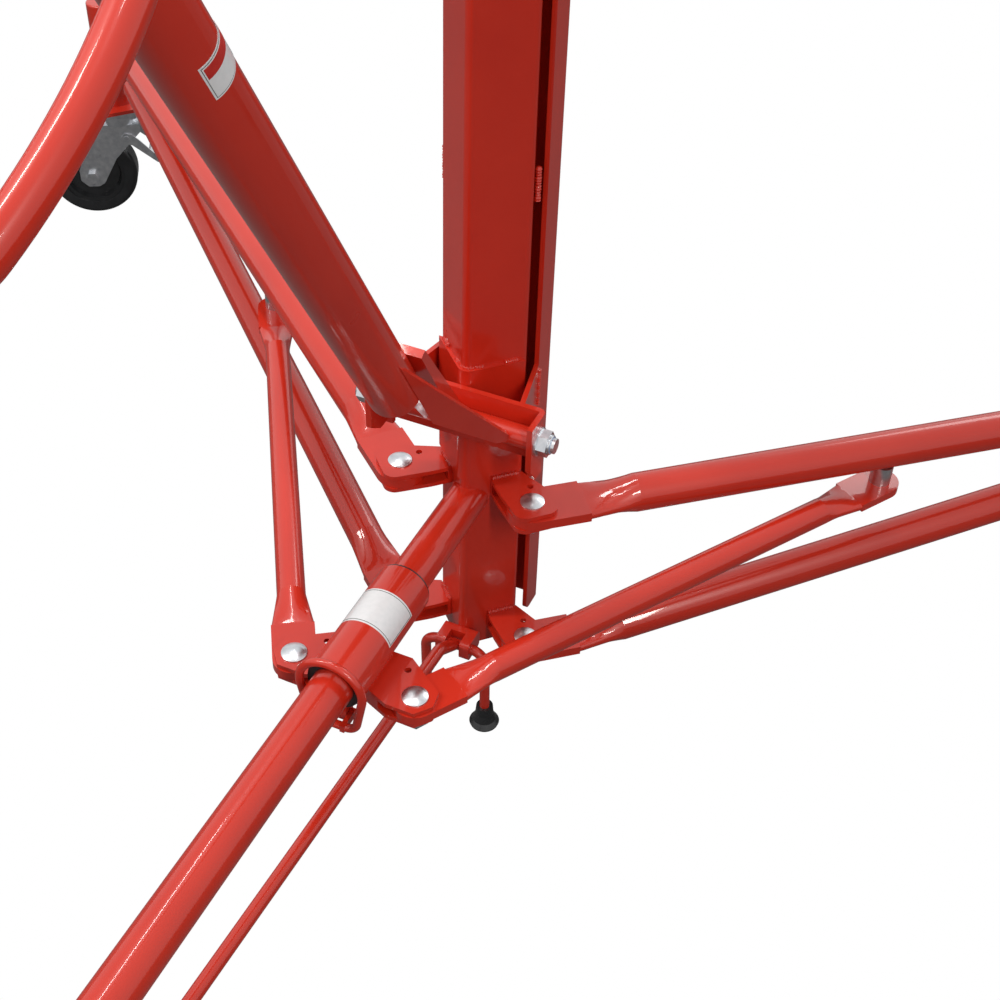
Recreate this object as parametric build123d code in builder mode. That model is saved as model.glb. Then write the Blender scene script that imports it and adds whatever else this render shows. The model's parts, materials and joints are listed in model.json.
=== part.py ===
from build123d import *
import os
from math import asin, atan2, cos, degrees, hypot, pi, radians, sin, sqrt, tan

os.makedirs("parts", exist_ok=True)

# Hoist seen from the operator behind it: X to the right, Y forward, Z up, floor at Z 0.
# hub_y moves the whole crane so that Y 0 is the middle of its length.
hub_y = 306.07

# Mast: a square tube on edge, nested in a channel that is open to the rear
mast_side = 70.0
mast_wall = 4.0
mast_round = 8.0
mast_centre_y = hub_y - 15.5
mast_foot_z = 104.0
mast_top_z = 1465.0
channel_width = 109.0
channel_wall = 5.0
channel_foot_z = 127.0
wrap_wall = 4.0
wrap_bottom_z = 362.0
wrap_top_z = 505.0

# Legs: an upper and a lower tube on two vertical pins, and a caster post at the end
leg_pin_x = 78.0
leg_pin_y = hub_y - 58.0
upper_leg_z = 343.0
lower_leg_z = 138.0
leg_heading = 50.0
leg_reach = 1242.0
leg_od = 42.4
leg_wall = 3.0
lower_leg_rise = 9.9
tongue_width = 54.0
tongue_thick = 11.4
tongue_length = 58.0
cone_length = 57.0
post_od = 48.3

# Tail tube, slide yoke and braces
tail_z = 326.0
tail_end_y = hub_y - 1345.0
yoke_front_y = hub_y - 205.0
yoke_rear_y = hub_y - 348.0
sleeve_od = 58.0
sleeve_id = 52.0
latch_low_z = tail_z - 48.0
latch_arch = 33.5
yoke_pin_x = 66.5
yoke_pin_y = hub_y - 312.0
brace_radius = 415.0
brace_z = 292.0
brace_od = 30.0
brace_thick = 10.0

# Casters
caster_top_z = 190.0
caster_plate = 6.0
wheel_radius = 75.0
wheel_width = 44.0
caster_trail = 55.0

# Drawbar with its hinge and hand loop
bar_pivot_y = hub_y - 87.0
bar_pivot_z = 463.0
bar_lean = 30.8
bar_od = 50.8
bar_offset = 48.4
bar_length = 815.0
hoop_height = 785.0
hoop_od = 25.0
ear_half = 92.0
ear_wall = 6.0

# Boom and ram
boom_pivot_y = hub_y + 10.0
boom_pivot_z = 1540.0
boom_width = 70.0
boom_height = 90.0
boom_tip_y = hub_y + 640.0
extension_tip_y = hub_y + 770.0
ram_foot_y = hub_y + 98.0
ram_foot_z = 950.0
ram_head_y = hub_y + 290.0
ram_head_z = 1450.0
ram_od = 64.0
rod_od = 28.0

# Fasteners and fits
pin_d = 16.0
pin_hole = 16.12
plate_5 = 5.0
plate_6 = 6.0


def save(name, shape):
    """Label one finished piece and write it as its own file."""
    shape.label = name
    export_step(shape, f"parts/{name}.step")


def both_sides(shape):
    """A right-hand shape and its mirror image, as separate solids."""
    with BuildPart() as pair:
        add(shape)
        mirror(about=Plane.YZ)
    return pair.part


def save_both(name, shape):
    """Write a right-hand piece and its left-hand mirror image."""
    save(name.replace("SIDE", "right"), shape)
    save(name.replace("SIDE", "left"), mirror(shape, about=Plane.YZ))


def cross_bolt(y, z, half, stud=0.0):
    """Bolt along X with a head on one side and a nut on the other, grip from -half to half."""
    with BuildPart() as bolt:
        with Locations((stud / 2, y, z)):
            Cylinder(pin_d / 2, 2 * half + 26 + stud, rotation=(0, 90, 0))
        for side in (-1, 1):
            with BuildSketch(Plane.YZ.offset(side * half)):
                with Locations((y, z)):
                    Circle(15)
            extrude(amount=side * 2.5)
            with BuildSketch(Plane.YZ.offset(side * (half + 2.5))):
                with Locations((y, z)):
                    RegularPolygon(12, 6, major_radius=False)
            extrude(amount=side * 10)
    return bolt.part


def dome_pin(grip):
    """Domed pin with its shank down, a washer and a nut. The head seat is at Z 0."""
    radius = 13.0
    rim = 1.5
    crown = 5.0
    dome = (radius**2 + (crown - rim) ** 2) / (2 * (crown - rim))
    with BuildPart() as pin:
        with BuildSketch(Plane.XZ):
            with BuildLine():
                cap = CenterArc((0, crown - dome), dome, 90, -degrees(asin(radius / dome)))
                Polyline(
                    cap @ 1,
                    (radius, 0),
                    (pin_d / 2, 0),
                    (pin_d / 2, -grip - 13),
                    (0, -grip - 13),
                    cap @ 0,
                )
            make_face()
        revolve(axis=Axis.Z)
        with Locations((0, 0, -grip)):
            Cylinder(15, 2, align=(Align.CENTER, Align.CENTER, Align.MAX))
        with BuildSketch(Plane.XY.offset(-grip - 2)):
            RegularPolygon(12, 6, major_radius=False)
        extrude(amount=-9)
    return pin.part


# ------------------------------------------------------------------ mast tube
# Square tube with rounded corners, one corner pointing straight back.
with BuildPart() as mast_tube:
    with BuildSketch(Plane.XY.offset(mast_foot_z)):
        with Locations((0, mast_centre_y)):
            RectangleRounded(mast_side, mast_side, mast_round, rotation=45)
            RectangleRounded(
                mast_side - 2 * mast_wall,
                mast_side - 2 * mast_wall,
                mast_round - mast_wall,
                rotation=45,
                mode=Mode.SUBTRACT,
            )
    extrude(amount=mast_top_z - mast_foot_z)
save("mast_tube", mast_tube.part)

corner_reach = mast_side / 2 * sqrt(2) - mast_round * (sqrt(2) - 1)
mast_rear_y = mast_centre_y - corner_reach
web_y = mast_centre_y + corner_reach
channel_front_y = web_y + channel_wall

# ------------------------------------------------------------------ mast channel
# The tube's front corner lies on the channel's web. The foot of each flange is rounded.
with BuildPart() as mast_channel:
    with BuildSketch(Plane.XY.offset(channel_foot_z)):
        with Locations((0, (hub_y + channel_front_y) / 2)):
            Rectangle(channel_width, channel_front_y - hub_y)
        with Locations((0, (hub_y + web_y) / 2)):
            Rectangle(channel_width - 2 * channel_wall, web_y - hub_y, mode=Mode.SUBTRACT)
    extrude(amount=mast_top_z - channel_foot_z)
    outer_bends = mast_channel.edges().filter_by(Axis.Z).group_by(Axis.Y)[-1]
    fillet(outer_bends, 7)
    lip_corners = mast_channel.edges().filter_by(Axis.X).group_by(Axis.Z)[0].group_by(Axis.Y)[0]
    fillet(lip_corners, 10)
save("mast_channel", mast_channel.part)

# ------------------------------------------------------------------ mast head
# Two cheek plates for the boom pin and a plate that closes the tube.
with BuildPart() as cheek:
    with BuildSketch(Plane.YZ.offset(channel_width / 2)):
        with BuildLine():
            Polyline(
                (hub_y, 1395),
                (hub_y + 34, 1395),
                (boom_pivot_y + 38, boom_pivot_z + 10),
                (boom_pivot_y + 24, boom_pivot_z + 34),
                (boom_pivot_y - 24, boom_pivot_z + 34),
                (boom_pivot_y - 38, boom_pivot_z + 10),
                (hub_y - 14, 1460),
                close=True,
            )
        make_face()
        with Locations((boom_pivot_y, boom_pivot_z)):
            Circle(pin_hole / 2, mode=Mode.SUBTRACT)
    extrude(amount=plate_6)
    fillet(cheek.edges().filter_by(Axis.X).group_by(Axis.Z)[-1], 10)
with BuildPart() as mast_head:
    add(cheek.part)
    mirror(about=Plane.YZ)
    with BuildSketch(Plane.XY.offset(mast_top_z)):
        with Locations((0, mast_centre_y + 8)):
            RectangleRounded(96, 84, 12)
    extrude(amount=4)
save("mast_head", mast_head.part)
save("boom_bolt", cross_bolt(boom_pivot_y, boom_pivot_z, channel_width / 2 + plate_6))

# ------------------------------------------------------------------ hub plates
# A bent plate round the tube's two rear faces, and two plates from the hinge bracket
# out to the channel's lips.
wrap_reach = (mast_side / 2 + wrap_wall) * sqrt(2) - (mast_round + wrap_wall) * (sqrt(2) - 1)
plate_front_y = mast_centre_y - wrap_reach
with BuildPart() as hub_plates:
    with BuildSketch(Plane.XY.offset(wrap_bottom_z)):
        with Locations((0, mast_centre_y)):
            RectangleRounded(
                mast_side + 2 * wrap_wall,
                mast_side + 2 * wrap_wall,
                mast_round + wrap_wall,
                rotation=45,
            )
            RectangleRounded(mast_side, mast_side, mast_round, rotation=45, mode=Mode.SUBTRACT)
        with Locations((0, hub_y + 78.5)):
            Rectangle(160, 200, mode=Mode.SUBTRACT)
    extrude(amount=wrap_top_z - wrap_bottom_z)
    with BuildSketch(Plane.XY.offset(432)):
        with BuildLine():
            Polyline(
                (62, plate_front_y),
                (67.5, plate_front_y),
                (channel_width / 2, hub_y),
                (channel_width / 2 - channel_wall, hub_y),
                close=True,
            )
        make_face()
    extrude(amount=54)
    with BuildSketch(Plane.XY.offset(432)):
        with BuildLine():
            Polyline(
                (-62, plate_front_y),
                (-67.5, plate_front_y),
                (-channel_width / 2, hub_y),
                (channel_wall - channel_width / 2, hub_y),
                close=True,
            )
        make_face()
    extrude(amount=54)
save("hub_plates", hub_plates.part)

# ------------------------------------------------------------------ drawbar bracket
# Bent U plate behind the mast. Its two ears carry the drawbar's hinge bolt.
ear_rear_y = bar_pivot_y - 17
with BuildPart() as drawbar_bracket:
    with BuildSketch(Plane.XY.offset(415)):
        with Locations((0, (plate_front_y + ear_rear_y) / 2)):
            Rectangle(2 * ear_half, plate_front_y - ear_rear_y)
        with Locations((0, plate_front_y - ear_wall - 50)):
            Rectangle(2 * (ear_half - ear_wall), 100, mode=Mode.SUBTRACT)
    extrude(amount=72)
    fillet(drawbar_bracket.edges().filter_by(Axis.Z).group_by(Axis.Y)[-1], 9)
    with Locations((0, plate_front_y - ear_wall / 2, 415)):
        Box(2 * (ear_half - 14), ear_wall + 2, 20, mode=Mode.SUBTRACT)
    with Locations((0, bar_pivot_y, bar_pivot_z)):
        Cylinder(pin_hole / 2, 220, rotation=(0, 90, 0), mode=Mode.SUBTRACT)
    low_rear = drawbar_bracket.edges().filter_by(Axis.X).group_by(Axis.Y)[0].group_by(Axis.Z)[0]
    chamfer(low_rear, 20, 14)
save("drawbar_bracket", drawbar_bracket.part)
save("drawbar_bolt", cross_bolt(bar_pivot_y, bar_pivot_z, ear_half, 6))

# ------------------------------------------------------------------ leg clevises
# Four folded clevises welded to the mast tube's rear faces, with a small drain hole each.
clevis_gap = tongue_thick + 0.6
face_n = mast_side / 2
pin_n = (leg_pin_x - (leg_pin_y - mast_centre_y)) / sqrt(2)
pin_t = (leg_pin_x + (leg_pin_y - mast_centre_y)) / sqrt(2)


def leg_clevis(centre_z):
    """Right-hand clevis: two leaves round the tongue, joined by a web on the tube's face."""
    low = Plane(
        origin=(0, mast_centre_y, centre_z - clevis_gap / 2 - plate_5),
        x_dir=(1 / sqrt(2), 1 / sqrt(2), 0),
        z_dir=(0, 0, 1),
    )
    with BuildPart() as clevis:
        with BuildSketch(low):
            with BuildLine():
                Polyline(
                    (-3, -face_n),
                    (-3, -face_n - 24),
                    (pin_t - 24, -pin_n - 23),
                    (pin_t + 24, -pin_n - 23),
                    (pin_t + 24, -pin_n + 12),
                    (33, -face_n),
                    close=True,
                )
            make_face()
        extrude(amount=clevis_gap + 2 * plate_5)
        fillet(clevis.edges().filter_by(Axis.Z).sort_by_distance((leg_pin_x + 33, leg_pin_y, centre_z))[:1], 13)
        fillet(clevis.edges().filter_by(Axis.Z).sort_by_distance((leg_pin_x, leg_pin_y - 33, centre_z))[:1], 13)
        with BuildSketch(low.offset(plate_5)):
            with Locations((pin_t, -face_n - plate_5 - 60)):
                Rectangle(160, 120)
        extrude(amount=clevis_gap, mode=Mode.SUBTRACT)
        with Locations((leg_pin_x, leg_pin_y, centre_z)):
            Cylinder(pin_hole / 2, 60, mode=Mode.SUBTRACT)
        with Locations((leg_pin_x - 12, leg_pin_y + 22, centre_z + 10)):
            Cylinder(3.5, 14, mode=Mode.SUBTRACT)
    return clevis.part


with BuildPart() as leg_clevises:
    add(leg_clevis(upper_leg_z))
    add(leg_clevis(lower_leg_z))
    mirror(about=Plane.YZ)
save("leg_clevises", leg_clevises.part)

leg_grip = clevis_gap + 2 * plate_5
leg_pin = dome_pin(leg_grip)
with BuildPart() as leg_pins:
    for height in (upper_leg_z, lower_leg_z):
        with Locations((leg_pin_x, leg_pin_y, height + leg_grip / 2)):
            add(leg_pin)
    mirror(about=Plane.YZ)
save("leg_pins", leg_pins.part)

# ------------------------------------------------------------------ tail tube
# Runs straight back from the mast to the rear caster's post, coped to both.
with BuildPart() as tail_tube:
    with BuildSketch(Plane.XZ.offset(-mast_centre_y)):
        with Locations((0, tail_z)):
            Circle(leg_od / 2)
            Circle(leg_od / 2 - leg_wall, mode=Mode.SUBTRACT)
    extrude(amount=mast_centre_y - tail_end_y - post_od / 2 + 6)
    with BuildSketch(Plane.XY.offset(tail_z - 40)):
        with Locations((0, mast_centre_y)):
            RectangleRounded(mast_side, mast_side, mast_round, rotation=45)
    extrude(amount=80, mode=Mode.SUBTRACT)
    with Locations((0, tail_end_y, tail_z)):
        Cylinder(post_od / 2, 120, mode=Mode.SUBTRACT)
save("tail_tube", tail_tube.part)


def caster_post(top):
    """Closed post on a plate, standing on the swivel axis at X 0, Y 0."""
    low = caster_top_z + caster_plate
    with BuildPart() as post:
        with BuildSketch(Plane.XY.offset(low)):
            RectangleRounded(96, 88, 10)
        extrude(amount=plate_6)
        with BuildSketch(Plane.XY.offset(low)):
            Circle(post_od / 2)
        extrude(amount=top - low)
        fillet(post.edges().filter_by(GeomType.CIRCLE).group_by(Axis.Z)[-1], 3)
        with BuildSketch(Plane.XY.offset(low)):
            Circle(post_od / 2 - 3)
        extrude(amount=top - low - 4, mode=Mode.SUBTRACT)
        with GridLocations(72, 64, 2, 2):
            Cylinder(4.6, 2 * (low + plate_6 + 1), mode=Mode.SUBTRACT)
    return post.part


# ------------------------------------------------------------------ legs
# Each leg is an upper tube, a lower tube that rises to meet it, and a post. The tubes
# are pressed flat at the pins. Local frame: pin at the origin, leg along +Y.
def tongue(width, thick, length, hole):
    """Flat end of a tube: pin hole at the origin, rounded front, straight sides."""
    with BuildPart() as flat:
        with BuildSketch(Plane.XY.offset(-thick / 2)):
            Circle(width / 2)
            with Locations((0, length / 2)):
                Rectangle(width, length)
            Circle(hole / 2, mode=Mode.SUBTRACT)
        extrude(amount=thick)
    return flat.part


def flared(width, thick, start, length, diameter, tilt, lift):
    """Transition from the flat end at Y start to the round tube."""
    slope = radians(tilt)
    round_end = Plane(
        origin=(0, start + length, lift), x_dir=(-1, 0, 0), z_dir=(0, cos(slope), sin(slope))
    )
    with BuildPart() as cone:
        with BuildSketch(Plane(origin=(0, start, 0), x_dir=(-1, 0, 0), z_dir=(0, 1, 0))):
            RectangleRounded(width, thick, thick / 2 - 0.2)
        with BuildSketch(round_end):
            Circle(diameter / 2)
        loft()
    return cone.part, round_end


upper_cone, upper_round = flared(
    tongue_width, tongue_thick, tongue_length, cone_length, leg_od, 0, 0
)
with BuildPart() as upper_leg:
    add(tongue(tongue_width, tongue_thick, tongue_length, pin_hole))
    add(upper_cone)
    with BuildSketch(upper_round):
        Circle(leg_od / 2)
        Circle(leg_od / 2 - leg_wall, mode=Mode.SUBTRACT)
    extrude(amount=leg_reach - post_od / 2 + 6 - tongue_length - cone_length)
    with Locations((0, leg_reach, 0)):
        Cylinder(post_od / 2, 120, mode=Mode.SUBTRACT)

joint_drop = lower_leg_z - upper_leg_z
lower_cone, lower_round = flared(
    tongue_width,
    tongue_thick,
    tongue_length,
    cone_length,
    leg_od,
    lower_leg_rise,
    cone_length * sin(radians(lower_leg_rise)) / 2,
)
with BuildPart() as lower_leg:
    add(tongue(tongue_width, tongue_thick, tongue_length, pin_hole))
    add(lower_cone)
    with BuildSketch(lower_round):
        Circle(leg_od / 2)
        Circle(leg_od / 2 - leg_wall, mode=Mode.SUBTRACT)
    extrude(amount=960)
    with Locations((0, 1000, -joint_drop)):
        Cylinder(leg_od / 2, 400, rotation=(90, 0, 0), mode=Mode.SUBTRACT)
    with Locations((0, 1000, -joint_drop + 18)):
        Box(80, 400, 40, mode=Mode.SUBTRACT)

leg_place = Location((leg_pin_x, leg_pin_y, 0), (0, 0, -leg_heading))
leg_end = leg_place * Location((0, leg_reach, 0))
save_both("leg_SIDE_upper_tube", leg_place * Location((0, 0, upper_leg_z)) * upper_leg.part)
save_both("leg_SIDE_lower_tube", leg_place * Location((0, 0, lower_leg_z)) * lower_leg.part)
save_both("leg_SIDE_post", leg_end * caster_post(377))
save("tail_post", Location((0, tail_end_y, 0)) * caster_post(360))

# ------------------------------------------------------------------ casters
# Mounting plate with four bolts, swivel fork with its axle, wheel, and a brake pedal.
# Local frame: swivel axis on Z, wheel trailing toward -X.
with BuildPart() as caster_plate_part:
    with BuildSketch(Plane.XY.offset(caster_top_z)):
        RectangleRounded(96, 88, 10)
    extrude(amount=caster_plate)
    with BuildSketch(Plane.XY.offset(caster_top_z)):
        Circle(37)
    extrude(amount=-5)
    with Locations((0, 0, caster_top_z)):
        with GridLocations(72, 64, 2, 2):
            Cylinder(4.5, 21, align=(Align.CENTER, Align.CENTER, Align.MIN))
    with BuildSketch(Plane.XY.offset(caster_top_z + caster_plate + plate_6)):
        with GridLocations(72, 64, 2, 2):
            RegularPolygon(6.5, 6, major_radius=False)
    extrude(amount=6.5)
    with BuildSketch(Plane.XY.offset(caster_top_z)):
        with GridLocations(72, 64, 2, 2):
            RegularPolygon(6.5, 6, major_radius=False)
    extrude(amount=-5)

fork_inner = wheel_width / 2 + 4
fork_wall = 3.0
fork_outer = fork_inner + fork_wall
race_z = caster_top_z - 5.3
with BuildPart() as caster_fork:
    with BuildSketch(Plane.XY.offset(race_z)):
        Circle(33)
    extrude(amount=-15)
    with BuildSketch(Plane.XZ.offset(-fork_outer)):
        with BuildLine():
            Polyline(
                (-34, race_z - 14),
                (36, race_z - 14),
                (36, race_z - 28),
                (-10, 108),
                (-36, 62),
                (-46, 56),
                (-64, 56),
                (-76, 68),
                (-76, 88),
                close=True,
            )
        make_face()
    extrude(amount=2 * fork_outer)
    with Locations((-20, 0, (race_z - 18) / 2)):
        Box(160, 2 * fork_inner, race_z - 18, mode=Mode.SUBTRACT)
    fillet(caster_fork.edges().filter_by(Axis.Y).filter_by(lambda e: e.center().Z < 100), 6)
    with Locations((-caster_trail, 0, wheel_radius)):
        Cylinder(6.05, 120, rotation=(90, 0, 0), mode=Mode.SUBTRACT)
    for side in (-1, 1):
        with Locations((12, side * (fork_outer + 2), 146)):
            Cylinder(5, 4.4, rotation=(90, 0, 0))

with BuildPart() as caster_axle:
    with Locations((-caster_trail, 0, wheel_radius)):
        Cylinder(6, 2 * fork_outer + 4, rotation=(90, 0, 0))
    for side in (-1, 1):
        with BuildSketch(Plane.XZ.offset(-side * fork_outer)):
            with Locations((-caster_trail, wheel_radius)):
                RegularPolygon(9.5, 6, major_radius=False)
        extrude(amount=-side * 8)
with BuildPart() as fork_and_axle:
    add(caster_fork.part)
    add(caster_axle.part, mode=Mode.PRIVATE)

hub_radius = 54.0
with BuildPart() as tyre:
    with BuildSketch(Plane.XY) as tyre_section:
        with Locations((0, (wheel_radius + hub_radius) / 2)):
            Rectangle(wheel_width, wheel_radius - hub_radius)
        fillet(tyre_section.vertices().group_by(Axis.Y)[-1], 8)
    revolve(axis=Axis.X)
with BuildPart() as wheel_hub:
    with BuildSketch(Plane.XY):
        with BuildLine():
            Polyline(
                (-wheel_width / 2 - 2.5, 6.05),
                (-wheel_width / 2 - 2.5, 17),
                (-10, 22),
                (-10, 44),
                (3 - wheel_width / 2, 48),
                (3 - wheel_width / 2, hub_radius),
                (wheel_width / 2 - 3, hub_radius),
                (wheel_width / 2 - 3, 48),
                (10, 44),
                (10, 22),
                (wheel_width / 2 + 2.5, 17),
                (wheel_width / 2 + 2.5, 6.05),
                close=True,
            )
        make_face()
    revolve(axis=Axis.X)
wheel_place = Location((-caster_trail, 0, wheel_radius), (0, 0, 90))

pedal_inner = fork_outer + 0.5
with BuildPart() as caster_pedal:
    for side in (-1, 1):
        with BuildSketch(Plane.XZ.offset(-side * pedal_inner)):
            with BuildLine():
                Polyline(
                    (3, 148),
                    (10, 156),
                    (20, 154),
                    (30, 146),
                    (66, 106),
                    (60, 100),
                    (20, 134),
                    (6, 138),
                    close=True,
                )
            make_face()
            with Locations((12, 146)):
                Circle(5.08, mode=Mode.SUBTRACT)
        extrude(amount=-side * 2.5)
    with BuildSketch(Plane.XZ):
        with BuildLine():
            Polyline((46, 120), (49, 123), (72, 100), (68, 96), close=True)
        make_face()
    extrude(amount=pedal_inner + 2.5, both=True)

caster_places = {
    "right": leg_end * Location((0, 0, 0), (0, 0, 199)),
    "tail": Location((0, tail_end_y, 0), (0, 0, -90)),
}
plate_places = {"right": leg_end, "tail": Location((0, tail_end_y, 0))}
wheel_pair = Compound(children=[wheel_place * tyre.part, wheel_place * wheel_hub.part])
fork_pair = Compound(children=[caster_fork.part, caster_axle.part])
for corner, place in caster_places.items():
    pieces = {
        "plate": plate_places[corner] * caster_plate_part.part,
        "fork": place * fork_pair,
        "wheel": place * wheel_pair,
        "pedal": place * caster_pedal.part,
    }
    for piece, shape in pieces.items():
        if corner == "tail":
            save(f"caster_tail_{piece}", shape)
        else:
            save_both(f"caster_SIDE_{piece}", shape)

# ------------------------------------------------------------------ slide yoke
# Sleeve on the tail tube with two bushes, two lugs and their domed pins.
with BuildPart() as yoke_sleeve:
    with BuildSketch(Plane.XZ.offset(-yoke_front_y)):
        with Locations((0, tail_z)):
            Circle(sleeve_od / 2)
            Circle(sleeve_id / 2, mode=Mode.SUBTRACT)
    extrude(amount=yoke_front_y - yoke_rear_y)
    with Locations((0, yoke_rear_y + 10, latch_low_z + 9)):
        Box(17, 14, 28)
    with Locations((0, yoke_rear_y + 10, latch_low_z)):
        Cylinder(2.5, 30, rotation=(0, 90, 0), mode=Mode.SUBTRACT)
    with Locations((0, (yoke_front_y + yoke_rear_y) / 2, tail_z)):
        Cylinder(sleeve_id / 2, 200, rotation=(90, 0, 0), mode=Mode.SUBTRACT)
save("yoke_sleeve", yoke_sleeve.part)

bush_bore = leg_od / 2 + 0.08
with BuildPart() as yoke_bushes:
    for start, rim in ((yoke_front_y, 2.5), (yoke_rear_y, -2.5)):
        inward = -30 if rim > 0 else 30
        with BuildSketch(Plane.XZ.offset(-start)):
            with Locations((0, tail_z)):
                Circle(sleeve_id / 2)
                Circle(bush_bore, mode=Mode.SUBTRACT)
        extrude(amount=-inward)
        with BuildSketch(Plane.XZ.offset(-start)):
            with Locations((0, tail_z)):
                Circle(sleeve_od / 2 - 1)
                Circle(bush_bore, mode=Mode.SUBTRACT)
        extrude(amount=-rim)
save("yoke_bushes", yoke_bushes.part)

lug_gap = brace_thick + 0.6
with BuildPart() as yoke_lug:
    with BuildSketch(Plane.XY.offset(brace_z - lug_gap / 2 - plate_5)):
        with BuildLine():
            Polyline(
                (14, yoke_pin_y + 44),
                (42, yoke_pin_y + 44),
                (yoke_pin_x + 18, yoke_pin_y + 15),
                (yoke_pin_x + 21, yoke_pin_y - 4),
                (yoke_pin_x + 8, yoke_pin_y - 20),
                (44, yoke_pin_y - 20),
                (14, yoke_pin_y - 8),
                close=True,
            )
        make_face()
    extrude(amount=lug_gap + 2 * plate_5)
    fillet(yoke_lug.edges().filter_by(Axis.Z).group_by(Axis.X)[-1], 5)
    with Locations((34 + 60, yoke_pin_y, brace_z)):
        Box(120, 200, lug_gap, mode=Mode.SUBTRACT)
    with Locations((45, yoke_pin_y + 28, brace_z + 8)):
        Cylinder(3.5, 8, mode=Mode.SUBTRACT)
    with Locations((yoke_pin_x, yoke_pin_y, brace_z)):
        Cylinder(pin_hole / 2, 60, mode=Mode.SUBTRACT)
    with Locations((0, yoke_pin_y, tail_z)):
        Cylinder(sleeve_od / 2, 300, rotation=(90, 0, 0), mode=Mode.SUBTRACT)
save("yoke_lugs", both_sides(yoke_lug.part))

yoke_grip = lug_gap + 2 * plate_5
yoke_pin = Location((yoke_pin_x, yoke_pin_y, brace_z + yoke_grip / 2)) * dome_pin(yoke_grip)
save("yoke_pins", both_sides(yoke_pin))

# ------------------------------------------------------------------ latch loop
# Bent rod round the tail tube behind the sleeve, on a pin in the lug under the sleeve.
latch_y = yoke_rear_y - 8.0
latch_tilt = radians(11.3)
latch_corner = 13.0
foot_x = -latch_arch * cos(latch_tilt)
foot_z = tail_z + 1 - latch_arch * sin(latch_tilt)
bend_z = latch_low_z + latch_corner * (1 - sin(latch_tilt))
bend_x = foot_x + (foot_z - bend_z) * tan(latch_tilt)
flat_x = bend_x + latch_corner * cos(latch_tilt)
bend_turn = (pi / 2 - latch_tilt) / 2
middle_x = flat_x - latch_corner * sin(bend_turn)
middle_z = latch_low_z + latch_corner * (1 - cos(bend_turn))
with BuildPart() as latch_loop:
    with BuildLine(Plane.XZ.offset(-latch_y)):
        Line((-10, latch_low_z), (flat_x, latch_low_z))
        ThreePointArc((flat_x, latch_low_z), (middle_x, middle_z), (bend_x, bend_z))
        Line((bend_x, bend_z), (foot_x, foot_z))
        ThreePointArc((foot_x, foot_z), (0, tail_z + 1 + latch_arch), (-foot_x, foot_z))
        Line((-foot_x, foot_z), (-bend_x, bend_z))
        ThreePointArc((-bend_x, bend_z), (-middle_x, middle_z), (-flat_x, latch_low_z))
        Line((-flat_x, latch_low_z), (10, latch_low_z))
    with BuildSketch(Plane(origin=(-10, latch_y, latch_low_z), z_dir=(-1, 0, 0))):
        Circle(4.3)
    sweep()
    with Locations((0, latch_y, latch_low_z)):
        Cylinder(4.3, 20, rotation=(0, 90, 0))
    for side in (-1, 1):
        with Locations((side * 11.5, latch_y + 9, latch_low_z)):
            Box(5, 26, 8.6)
    with Locations((0, latch_y + 18, latch_low_z)):
        Cylinder(2.45, 28, rotation=(0, 90, 0))
save("latch_loop", latch_loop.part)

# ------------------------------------------------------------------ braces
# Tube flattened at both ends, from the yoke to a stud under the leg's upper tube.
brace_x = leg_pin_x + brace_radius * sin(radians(leg_heading))
brace_y = leg_pin_y + brace_radius * cos(radians(leg_heading))
brace_length = hypot(brace_x - yoke_pin_x, brace_y - yoke_pin_y)
brace_heading = degrees(atan2(brace_x - yoke_pin_x, brace_y - yoke_pin_y))
brace_cone, brace_round = flared(44, brace_thick, 46, 44, brace_od, 0, 0)
with BuildPart() as brace_half:
    add(tongue(44, brace_thick, 46, pin_hole))
    add(brace_cone)
    with BuildSketch(brace_round):
        Circle(brace_od / 2)
        Circle(brace_od / 2 - 2.5, mode=Mode.SUBTRACT)
    extrude(amount=brace_length / 2 - 90)
with BuildPart() as brace_tube:
    add(brace_half.part)
    mirror(about=Plane.XZ.offset(-brace_length / 2))
with BuildPart() as brace_stud:
    with Locations((0, brace_length, brace_thick / 2)):
        Cylinder(
            12,
            upper_leg_z - leg_od / 2 - brace_z - brace_thick / 2 - 0.5,
            align=(Align.CENTER, Align.CENTER, Align.MIN),
        )
        Cylinder(pin_d / 2, brace_thick, align=(Align.CENTER, Align.CENTER, Align.MAX))
    with Locations((0, brace_length, -brace_thick / 2)):
        Cylinder(15, 2, align=(Align.CENTER, Align.CENTER, Align.MAX))
        Cylinder(pin_d / 2, 13, align=(Align.CENTER, Align.CENTER, Align.MAX))
    with BuildSketch(Plane.XY.offset(-brace_thick / 2 - 2)):
        with Locations((0, brace_length)):
            RegularPolygon(12, 6, major_radius=False)
    extrude(amount=-9)
brace_place = Location((yoke_pin_x, yoke_pin_y, brace_z), (0, 0, -brace_heading))
save_both("brace_SIDE_tube", brace_place * brace_tube.part)
save_both("brace_SIDE_stud", brace_place * brace_stud.part)

# ------------------------------------------------------------------ drawbar
# Tube leaning back from its hinge on the mast bracket, with a hand loop near the top.
lean = radians(bar_lean)
up = Vector(0, -sin(lean), cos(lean))
back = Vector(0, -cos(lean), -sin(lean))
hinge = Vector(0, bar_pivot_y, bar_pivot_z)
bar_plane = Plane(origin=hinge + back * bar_offset, x_dir=(1, 0, 0), z_dir=up)
tube_start = 165.0
with BuildPart() as drawbar_tube:
    with BuildSketch(bar_plane.offset(tube_start)):
        Circle(bar_od / 2)
        Circle(bar_od / 2 - 3, mode=Mode.SUBTRACT)
    extrude(amount=bar_length - tube_start)
save("drawbar_tube", drawbar_tube.part)

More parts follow.
